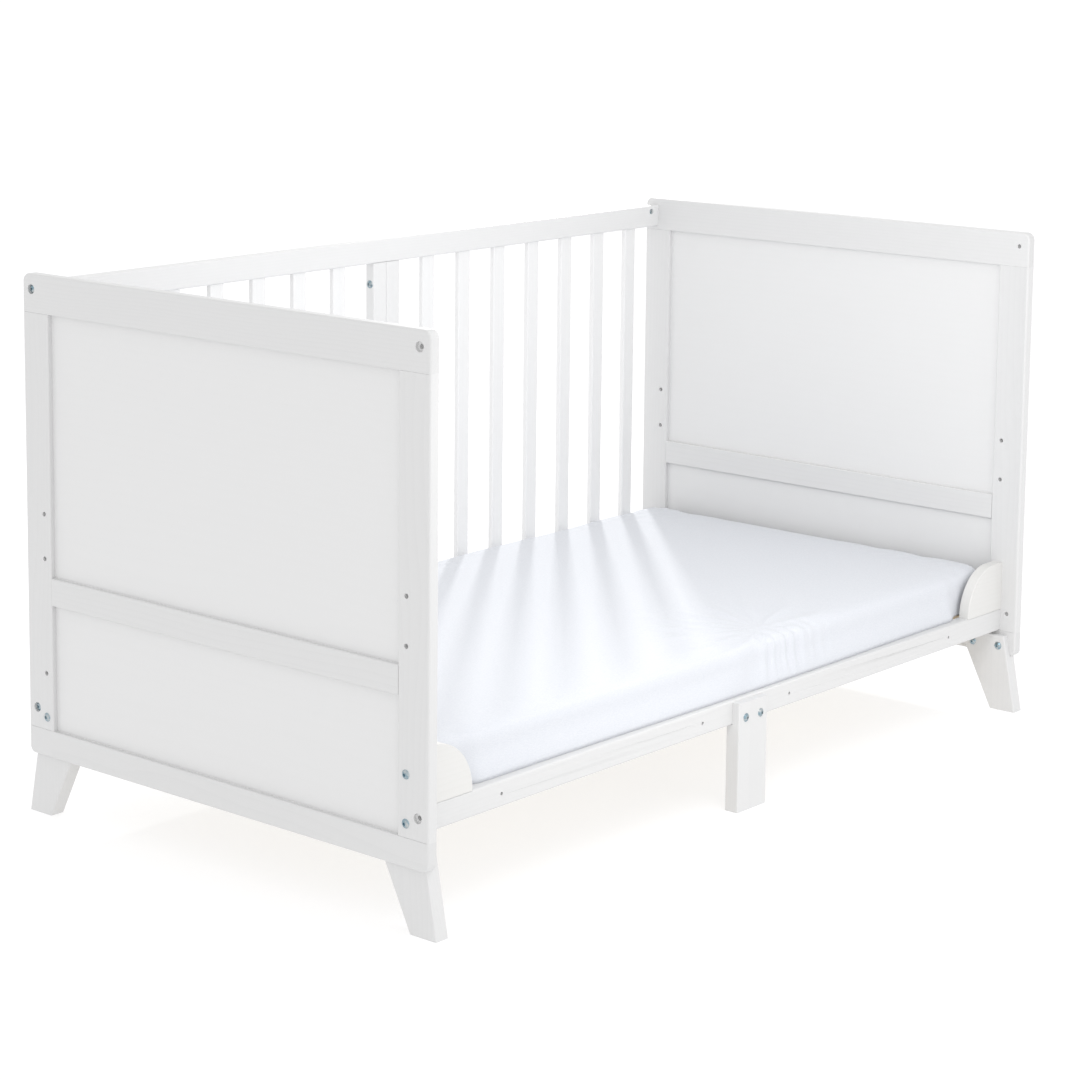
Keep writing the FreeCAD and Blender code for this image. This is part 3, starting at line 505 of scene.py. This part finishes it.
FRAME_GLAZE = GlazedPine("frame_glaze", (0.69, 0.69, 0.69), (0.61, 0.61, 0.61))
BOARD_GLAZE = GlazedPine("board_glaze", (0.74, 0.74, 0.74), (0.70, 0.70, 0.695),
                         ring=9 * MM, contrast=0.14, relief=0.03 * MM, gloss=0.34)
SIDE_GLAZE = GlazedPine("side_glaze", (0.75, 0.75, 0.75), (0.68, 0.68, 0.68))
SLAT_GLAZE = GlazedPine("slat_glaze", (0.81, 0.81, 0.81), (0.74, 0.74, 0.74))
GUARD_GLAZE = GlazedPine("guard_glaze", (0.72, 0.715, 0.70), (0.66, 0.655, 0.63),
                         ring=5 * MM, contrast=0.3, relief=0.1 * MM)
BARE_PINE = BareWood("bare_pine", (0.72, 0.62, 0.46), (0.58, 0.44, 0.28))
BARE_BEECH = BareWood("bare_beech", (0.6, 0.43, 0.28), (0.45, 0.3, 0.18), ring=1.6 * MM)


# ---- wooden and metal parts ----------------------------------------------------------------

# Angle between two faces from which their shared edge is drawn crisp, in degrees.
CRISP_ANGLE = 32


def dress(node: str, material: bpy.types.Material) -> None:
    """Gives a part of the frame its finish and keeps its shading crisp at edges and smooth round curves.

    Args:
        node: The part's name.
        material: Its finish.
    """
    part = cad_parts[node]
    slots = part.data.materials
    slots.clear()
    slots.append(material)
    part.data.shade_smooth()
    part.data.set_sharp_from_angle(angle=math.radians(CRISP_ANGLE))


@dataclass
class WoodPieces:
    """Boards of one finish that are dressed by name.

    Attributes:
        finish: Their glaze or bare wood.
        boards: Each board's name and the way that its fibres run.
        cuts: How many different cuts they are sawn from.
    """

    finish: GlazedPine | BareWood
    boards: dict[str, Grain]
    cuts: int = 3
    made: dict[tuple[Grain, int], bpy.types.Material] = field(default_factory=dict)

    def dress(self) -> int:
        """Dresses every board.

        Returns:
            How many boards there are.
        """
        for number, (name, grain) in enumerate(self.boards.items()):
            key = (grain, number % self.cuts)
            if key not in self.made:
                self.made[key] = self.finish.material(*key)
            dress(name, self.made[key])
        return len(self.boards)


class EndFrames:
    """Both panelled end frames with their corner legs."""

    sides = ("left", "right")

    def dress(self) -> None:
        """Glazes rails, stiles, thin boards and legs."""
        wood: dict[str, Grain] = {}
        thin: dict[str, Grain] = {}
        for side in self.sides:
            wood.update({f"{side}_{rail}_rail": Grain.DEPTH for rail in ("top", "mid", "bottom")})
            wood.update({f"{side}_{face}_stile": Grain.HEIGHT for face in ("front", "back")})
            wood.update({f"{side}_{face}_leg": Grain.HEIGHT for face in ("front", "back")})
            thin.update({f"{side}_{level}_board": Grain.DEPTH for level in ("upper", "lower")})
        log.info("end frames: %d solid boards", WoodPieces(FRAME_GLAZE, wood).dress())
        log.info("end frames: %d thin boards", WoodPieces(BOARD_GLAZE, thin, 4).dress())


class BarredSide:
    """Both halves of the barred back side."""

    slats = 14

    def dress(self) -> None:
        """Glazes rails, posts and slats."""
        wood: dict[str, Grain] = {}
        for side in EndFrames.sides:
            wood.update({f"side_{rail}_rail_{side}": Grain.LENGTH for rail in ("top", "bottom")})
            wood[f"side_post_{side}"] = Grain.HEIGHT
        slats = {f"side_slat_{number + 1:02d}": Grain.HEIGHT for number in range(self.slats)}
        log.info("barred side: %d rails and posts", WoodPieces(SIDE_GLAZE, wood).dress())
        log.info("barred side: %d slats", WoodPieces(SLAT_GLAZE, slats, 4).dress())


class BaseFrame:
    """Base frame, its laths, the two guards and the leg under its middle."""

    def dress(self) -> None:
        """Glazes the rails, guards and leg, and leaves the laths and dowels bare."""
        wood: dict[str, Grain] = {"middle_leg": Grain.HEIGHT}
        guards: dict[str, Grain] = {}
        for side in EndFrames.sides:
            wood.update({f"base_{face}_rail_{side}": Grain.LENGTH for face in ("front", "back")})
            wood.update({f"base_{label}_rail_{side}": Grain.DEPTH for label in ("end", "middle")})
            guards[f"mattress_guard_{side}"] = Grain.LENGTH
        log.info("base frame: %d rails and leg", WoodPieces(FRAME_GLAZE, wood).dress())
        log.info("guards: %d", WoodPieces(GUARD_GLAZE, guards).dress())
        log.info("laths: %d node", WoodPieces(BARE_PINE, {"base_laths": Grain.DEPTH}).dress())
        log.info("dowels: %d node", WoodPieces(BARE_BEECH, {"dowels": Grain.HEIGHT}).dress())


class Fasteners:
    """All bolts and nuts."""

    nodes = ("panel_bolts", "leg_bolts", "middle_leg_bolts", "joining_bolts", "sleeve_nuts", "barrel_nuts")

    def dress(self) -> None:
        """Plates them with zinc."""
        zinc = ZincPlate().material()
        for node in self.nodes:
            dress(node, zinc)
        log.info("fasteners: %d nodes", len(self.nodes))


# ---- mattress ------------------------------------------------------------------------------

def falloff(distance: float, reach: float) -> float:
    """Smooth fade from 1 at no distance to 0 at the reach."""
    share = min(max(distance / reach, 0.0), 1.0)
    return (1 - share * share) ** 2


@dataclass(frozen=True)
class Crease:
    """One family of folds that run side by side in the sheet.

    Attributes:
        spacing: From one ridge to the next, in metres, or in radians round a point.
        reach: Where the folds have faded out, in metres.
        height: Of a ridge above the flat cloth, in metres.
        hollow: Depth between two ridges, as a share of their height.
    """

    spacing: float
    reach: float
    height: float
    hollow: float = 0.3

    def rise(self, distance: float, away: float) -> float:
        """Height of the folds.

        Args:
            distance: Across the folds, in the spacing's unit.
            away: From where they are highest, in metres.

        Returns:
            The height, in metres. Below 0 in a hollow.
        """
        ridge = (0.5 + 0.5 * math.cos(distance * math.tau / self.spacing)) ** 2
        return self.height * ((1 + self.hollow) * ridge - self.hollow) * falloff(away, self.reach)


BACK_ROWS = Crease(0.021, 0.13, 1.9 * MM)
END_ROWS = Crease(0.03, 0.22, 2.1 * MM)
FRONT_RAYS = Crease(0.4, 0.12, 2.4 * MM)
FRONT_DROPS = Crease(0.027, 0.05, 1.7 * MM)


@dataclass
class Mattress:
    """Foam block in a fitted cotton sheet that is gathered by elastic under it.

    Attributes:
        voxel: Size of the mesh's squares, in metres.
        slack: How far the padding may move while it settles, in metres.
        cover: Sheet's distance outside the foam, in metres.
        tuck: Width of the hem under the mattress, in metres.
        frames: Steps of the settling.
        bow: How far the front swells out between the guards, in metres.
        ease: Foam's distance inside the sheet, in metres.
        slit: Where along the bed the sheet's foot stands up from the rail, in metres.
        foot: How far the lower front edge's rounding reaches, in metres.
        knot: Where along the bed the folds of the front edge come together, in metres.
        gap: Least height of the cloth over what the mattress lies on, in metres.
        spare_back: How far the spare cloth reaches from the back edge, in metres.
        spare_front: How far it reaches from the front's knot, in metres.
        spare_corner: How far it reaches from each corner, in metres.
    """

    voxel: float = 7 * MM
    slack: float = 4 * MM
    cover: float = 1.2 * MM
    tuck: float = 90 * MM
    frames: int = 20
    bow: float = 9 * MM
    ease: float = 3.5 * MM
    slit: float = -0.507
    foot: float = 9 * MM
    knot: float = 0.1
    gap: float = 0.4 * MM
    spare_back: float = 0.16
    spare_front: float = 0.24
    spare_corner: float = 0.14

    def __post_init__(self) -> None:
        """Reads the space that the mattress fills."""
        self.low, self.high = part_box("fitted_sheet")

    def _object(self, name: str, mesh: bpy.types.Mesh) -> bpy.types.Object:
        """Puts a mesh into the scene under a name."""
        piece = bpy.data.objects.new(name, mesh)
        bpy.context.scene.collection.objects.link(piece)
        return piece

    def _settled_mesh(self, piece: bpy.types.Object) -> bpy.types.Mesh:
        """A copy of a piece's mesh with its modifiers worked in."""
        bpy.context.view_layer.update()
        ready = piece.evaluated_get(bpy.context.evaluated_depsgraph_get())
        return bpy.data.meshes.new_from_object(ready)

    def block(self, name: str) -> bpy.types.Object:
        """Evenly meshed copy of the foam block.

        Args:
            name: The new object's name.

        Returns:
            The object.
        """
        piece = self._object(name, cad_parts["mattress_core"].data.copy())
        piece.data.materials.clear()
        even = piece.modifiers.new("even", "REMESH")
        even.mode = "VOXEL"
        even.voxel_size = self.voxel
        piece.data = self._settled_mesh(piece)
        piece.modifiers.clear()
        return piece

    def looseness(self, spot: Vector) -> float:
        """How much spare cloth there is at a point of the sheet, from 0 to 1."""
        back = falloff(self.high.y - spot.y, self.spare_back) * (0.55 + 0.45 * noise.noise(spot * 6))
        front = falloff((spot - Vector((0.06, self.low.y, self.high.z))).length, self.spare_front)
        side = min(abs(spot.y - self.low.y), abs(spot.y - self.high.y))
        corner = min(abs(abs(spot.x) - self.high.x), 1.0) + side
        return min(max(back, front, falloff(corner, self.spare_corner)), 1.0)

    def settle(self, piece: bpy.types.Object) -> None:
        """Lets the padding press the sheet out while the spare cloth buckles, within the slack.

        Args:
            piece: The sheet's object, whose mesh is replaced.
        """
        start = [vertex.co.copy() for vertex in piece.data.vertices]
        group = piece.vertex_groups.new(name="loose")
        for index, spot in enumerate(start):
            group.add([index], self.looseness(spot), "REPLACE")
        cloth = piece.modifiers.new("cloth", "CLOTH")
        rules = cloth.settings
        rules.quality = 6
        rules.mass = 0.2
        rules.tension_stiffness = rules.compression_stiffness = 18
        rules.bending_stiffness = 0.35
        rules.use_pressure = True
        rules.uniform_pressure_force = 3.0
        rules.effector_weights.gravity = 0
        rules.vertex_group_shrink = group.name
        rules.shrink_min = 0.0
        rules.shrink_max = -0.07
        cloth.collision_settings.use_collision = False
        cloth.collision_settings.use_self_collision = False
        cloth.point_cache.frame_start = 1
        cloth.point_cache.frame_end = self.frames
        scene = bpy.context.scene
        for step in range(1, self.frames + 1):
            scene.frame_set(step)
        mesh = self._settled_mesh(piece)
        piece.modifiers.clear()
        scene.frame_set(1)
        for vertex, spot in zip(mesh.vertices, start):
            move = vertex.co - spot
            if move.length > self.slack:
                vertex.co = spot + move.normalized() * self.slack
        piece.data = mesh

    def crease(self, spot: Vector) -> float:
        """Height of the pressed-in folds at a point of the sheet, in metres."""
        back, front = self.high.y - spot.y, spot.y - self.low.y
        end = self.high.x - spot.x
        drift = noise.noise(Vector((spot.x * 5, spot.y * 3, 1.7)))
        back_patch = max(0.0, noise.noise(Vector((spot.x * 9, spot.y * 12, 4.1))) + 0.45)
        end_patch = max(0.0, noise.noise(Vector((spot.x * 7, spot.y * 6, 9.3))) + 0.2)
        knot = Vector((spot.x - self.knot, front - 0.03))
        turn = math.atan2(knot.y, knot.x) + 0.25 * drift
        rows = BACK_ROWS.rise(back + 0.014 * drift, back) * back_patch
        rows += END_ROWS.rise(end * 0.8 + back * 0.35 + 0.03 * drift, end) * end_patch
        rays = FRONT_RAYS.rise(turn, abs(knot.length - 0.1))
        drops = FRONT_DROPS.rise(spot.x + 0.5 * front + 0.012 * drift, front)
        return rows + rays + drops * falloff(abs(spot.x - self.knot - 0.03), 0.16)

    def fitted(self, piece: bpy.types.Object) -> None:
        """Opens the settled cover underneath, swells its front and keeps it within its own space.

        Args:
            piece: The sheet's object.
        """
        mesh = bmesh.new()
        mesh.from_mesh(piece.data)
        under = self.low.z + 14 * MM
        inner = [face for face in mesh.faces if face.normal.z < -0.9 and face.calc_center_median().z < under
                 and self._inside(face.calc_center_median())]
        bmesh.ops.delete(mesh, geom=inner, context="FACES")
        mesh.normal_update()
        for vertex in mesh.verts:
            vertex.co = self.squared(vertex.co + vertex.normal * self.cover)
            vertex.co.y -= self.swell(vertex.co)
            vertex.co.z = max(vertex.co.z, self.low.z + self.gap)
            vertex.co.y = min(vertex.co.y, self.high.y + 1.5 * MM)
        mesh.to_mesh(piece.data)
        mesh.free()

    def squared(self, spot: Vector) -> Vector:
        """Draws a point of the rounded lower front edge down onto the rail, apart from the short slit.

        Args:
            spot: A point of the sheet.

        Returns:
            The point's new place.
        """
        across = self.foot - (spot.y - self.low.y)
        down = self.foot - (spot.z - self.low.z)
        if min(across, down) <= 0 or abs(spot.x) > self.high.x - 10 * MM:
            return spot
        share = self.foot / max(across, down)
        lift = 5 * MM * falloff(abs(spot.x - self.slit), 0.03) * min(down / self.foot, 1.0)
        return Vector((spot.x, min(spot.y, self.low.y + self.foot - across * share),
                       min(spot.z, self.low.z + self.foot - down * share) + lift))

    def press(self, piece: bpy.types.Object) -> None:
        """Presses the folds into the finely meshed sheet and sets its front edge down on the rail.

        Args:
            piece: The sheet's object.
        """
        mesh = piece.data
        moves = []
        for vertex in mesh.vertices:
            rise = min(max((vertex.co.z - self.low.z) / 0.03, 0.0), 1.0)
            moves.append(vertex.normal * self.crease(vertex.co) * rise)
        for vertex, move in zip(mesh.vertices, moves):
            vertex.co += move
            if vertex.co.y < self.low.y and vertex.co.z < self.low.z + 0.4 * self.foot:
                vertex.co.z = self.low.z + 0.1 * MM

    def swell(self, spot: Vector) -> float:
        """How far a point of the sheet stands out to the front between the guards, in metres."""
        between = min(max((0.6 - abs(spot.x)) / 0.025, 0.0), 1.0)
        middle = falloff(abs(spot.x - 0.04), 0.5)
        foot = falloff(spot.z - self.low.z, 0.04)
        amount = self.bow * (0.45 + 0.55 * middle + 0.8 * foot)
        return amount * between * falloff(spot.y - self.low.y, 0.1)

    def _inside(self, spot: Vector) -> bool:
        """Whether a point lies in the opening that the hem leaves under the mattress."""
        gather = 0.008 * noise.noise(spot * 22)
        inset = self.tuck + gather
        return (self.low.x + inset < spot.x < self.high.x - inset
                and self.low.y + inset < spot.y < self.high.y - inset)

    def build(self) -> None:
        """Makes foam, sheet and elastic hem, and lets them ride with the mattress."""
        foam = self.block("mattress_foam")
        shrunk = [vertex.co - vertex.normal * self.ease for vertex in foam.data.vertices]
        for vertex, spot in zip(foam.data.vertices, shrunk):
            vertex.co = spot
        foam.data.shade_smooth()
        foam.data.materials.append(MattressFoam().material())
        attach(foam, "mattress")
        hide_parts("mattress_core")
        log.info("mattress foam: %d faces", len(foam.data.polygons))

        cotton = SheetCotton()
        sheet = self.block("mattress_sheet")
        self.settle(sheet)
        self.fitted(sheet)
        smooth = sheet.modifiers.new("smooth", "SUBSURF")
        smooth.levels = smooth.render_levels = 1
        sheet.data = self._settled_mesh(sheet)
        sheet.modifiers.clear()
        self.press(sheet)
        sheet.data.shade_smooth()
        sheet.data.materials.clear()
        sheet.data.materials.append(cotton.material("sheet_cotton"))
        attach(sheet, "mattress")
        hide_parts("fitted_sheet")
        hem = self.hem(cotton)
        log.info("fitted sheet: %d faces", len(sheet.data.polygons))

    def hem(self, cotton: SheetCotton) -> bpy.types.Object:
        """Gathered elastic channel round the opening under the mattress.

        Args:
            cotton: The sheet's cloth.

        Returns:
            The hem.
        """
        loop = bpy.data.curves.new("sheet_hem", "CURVE")
        loop.dimensions = "3D"
        loop.bevel_depth = 2.2 * MM
        loop.bevel_resolution = 3
        line = loop.splines.new("NURBS")
        x, y = self.high.x - self.tuck, (self.high.y - self.low.y) / 2 - self.tuck
        middle, corner, step = (self.high.y + self.low.y) / 2, 0.06, 0.025
        spots = []
        for start, end in (((-x, -y), (x, -y)), ((x, -y), (x, y)), ((x, y), (-x, y)), ((-x, y), (-x, -y))):
            run = Vector(end) - Vector(start)
            count = int((run.length - 2 * corner) / step)
            for index in range(count + 1):
                share = (corner + index * (run.length - 2 * corner) / count) / run.length
                spots.append(Vector(start) + run * share)
        line.points.add(len(spots) - 1)
        for index, (point, spot) in enumerate(zip(line.points, spots)):
            sway = 0.0025 * math.sin(index * 2.4)
            outward = spot.normalized() * sway
            point.co = (spot.x + outward.x, spot.y + outward.y + middle, self.low.z + 2.6 * MM, 1)
            point.radius = 1 + 0.25 * math.sin(index * 1.9)
        line.use_cyclic_u = True
        line.order_u = 3
        hem = bpy.data.objects.new("sheet_hem", loop)
        bpy.context.scene.collection.objects.link(hem)
        loop.materials.append(cotton.material("hem_cotton"))
        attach(hem, "mattress")
        log.info("sheet hem: %d points", len(spots))
        return hem


# ---- studio --------------------------------------------------------------------------------

@dataclass
class Viewpoint:
    """Camera that looks along the bed from its near end and the open front.

    Attributes:
        aim: Point that it turns about, in metres.
        distance: From that point to the camera, in metres.
        turn: Turn about the upright axis, in degrees.
        tilt: Height angle, in degrees.
        roll: Turn about the line of sight, in degrees.
        lens: Focal length for a 36 mm wide picture, in millimetres.
        shift: Shift of the picture to the right and upwards, as shares of its width.
    """

    aim: tuple[float, float, float] = (-0.0852, 0.0893, 0.6849)
    distance: float = 4.3396
    turn: float = -48.69
    tilt: float = 8.51
    roll: float = 0.42
    lens: float = 95.46
    shift: tuple[float, float] = (0.0556, -0.2037)

    def build(self) -> None:
        """Makes the camera and chooses it."""
        turn, tilt, roll = (math.radians(angle) for angle in (self.turn, self.tilt, self.roll))
        back = Vector((math.sin(turn) * math.cos(tilt), -math.cos(turn) * math.cos(tilt), math.sin(tilt)))
        right = Vector((0, 0, 1)).cross(back).normalized()
        up = back.cross(right)
        level = (right, up)
        right = level[0] * math.cos(roll) + level[1] * math.sin(roll)
        up = level[1] * math.cos(roll) - level[0] * math.sin(roll)
        camera = bpy.data.cameras.new("viewpoint")
        camera.sensor_width = 36
        camera.lens = self.lens
        camera.shift_x, camera.shift_y = self.shift
        camera.clip_end = 60
        holder = bpy.data.objects.new("viewpoint", camera)
        bpy.context.scene.collection.objects.link(holder)
        place = Vector(self.aim) + back * self.distance
        turned = Matrix((right, up, back)).transposed().to_4x4()
        holder.matrix_world = Matrix.Translation(place) @ turned
        bpy.context.scene.camera = holder
        log.info("camera at %s", tuple(round(value, 3) for value in place))


@dataclass(frozen=True)
class Lamp:
    """One square soft light.

    Attributes:
        name: Its name.
        place: Where it stands, in metres.
        target: What it points at.
        size: Its side, in metres.
        power: In watts.
    """

    name: str
    place: tuple[float, float, float]
    target: tuple[float, float, float]
    size: float
    power: float

    def build(self) -> None:
        """Makes the light."""
        light = bpy.data.lights.new(self.name, "AREA")
        light.size = self.size
        light.energy = self.power
        holder = bpy.data.objects.new(self.name, light)
        holder.visible_camera = False
        bpy.context.scene.collection.objects.link(holder)
        direction = Vector(self.target) - Vector(self.place)
        holder.location = self.place
        holder.rotation_euler = direction.to_track_quat("-Z", "Y").to_euler()


@dataclass
class Studio:
    """Pale floor, even white surroundings and four soft lights.

    Attributes:
        surround: Brightness of the surroundings.
        lamps: The lights.
    """

    surround: float = 1.0
    lamps: tuple[Lamp, ...] = (
        Lamp("front_softbox", (-0.1, -3.4, 1.3), (0.1, 0.0, 0.35), 2.2, 9.0),
        Lamp("back_lamp", (2.18, 1.83, 1.45), (0.0, 0.0, 0.3), 0.1, 28.0),
        Lamp("inner_softbox", (-0.4, -0.75, 1.0), (0.7, 0.0, 0.3), 0.5, 4.0),
        Lamp("near_softbox", (-1.7, -1.5, 0.8), (-0.72, -0.3, 0.5), 0.8, 0.9),
    )

    def build(self) -> None:
        """Makes floor, surroundings and lights."""
        world = bpy.data.worlds.new("surroundings")
        world.use_nodes = True
        world.node_tree.nodes["Background"].inputs["Color"].default_value = (1, 1, 1, 1)
        world.node_tree.nodes["Background"].inputs["Strength"].default_value = self.surround
        bpy.context.scene.world = world
        bpy.context.scene.view_settings.view_transform = "Standard"
        mesh = bmesh.new()
        bmesh.ops.create_grid(mesh, x_segments=24, y_segments=24, size=30)
        data = bpy.data.meshes.new("floor")
        mesh.to_mesh(data)
        mesh.free()
        floor = bpy.data.objects.new("floor", data)
        bpy.context.scene.collection.objects.link(floor)
        data.materials.append(StudioFloor().material())
        for lamp in self.lamps:
            lamp.build()
        log.info("studio: floor and %d lights", len(self.lamps))


def main() -> None:
    """Dresses the bed, makes its mattress and sets up the studio."""
    logging.basicConfig(level=logging.INFO, format="%(message)s")
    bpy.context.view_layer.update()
    Viewpoint().build()
    Studio().build()
    builders: tuple[Callable[[], None], ...] = (
        EndFrames().dress, BarredSide().dress, BaseFrame().dress, Fasteners().dress, Mattress().build)
    for build in builders:
        build()


if __name__ == "__main__":
    main()
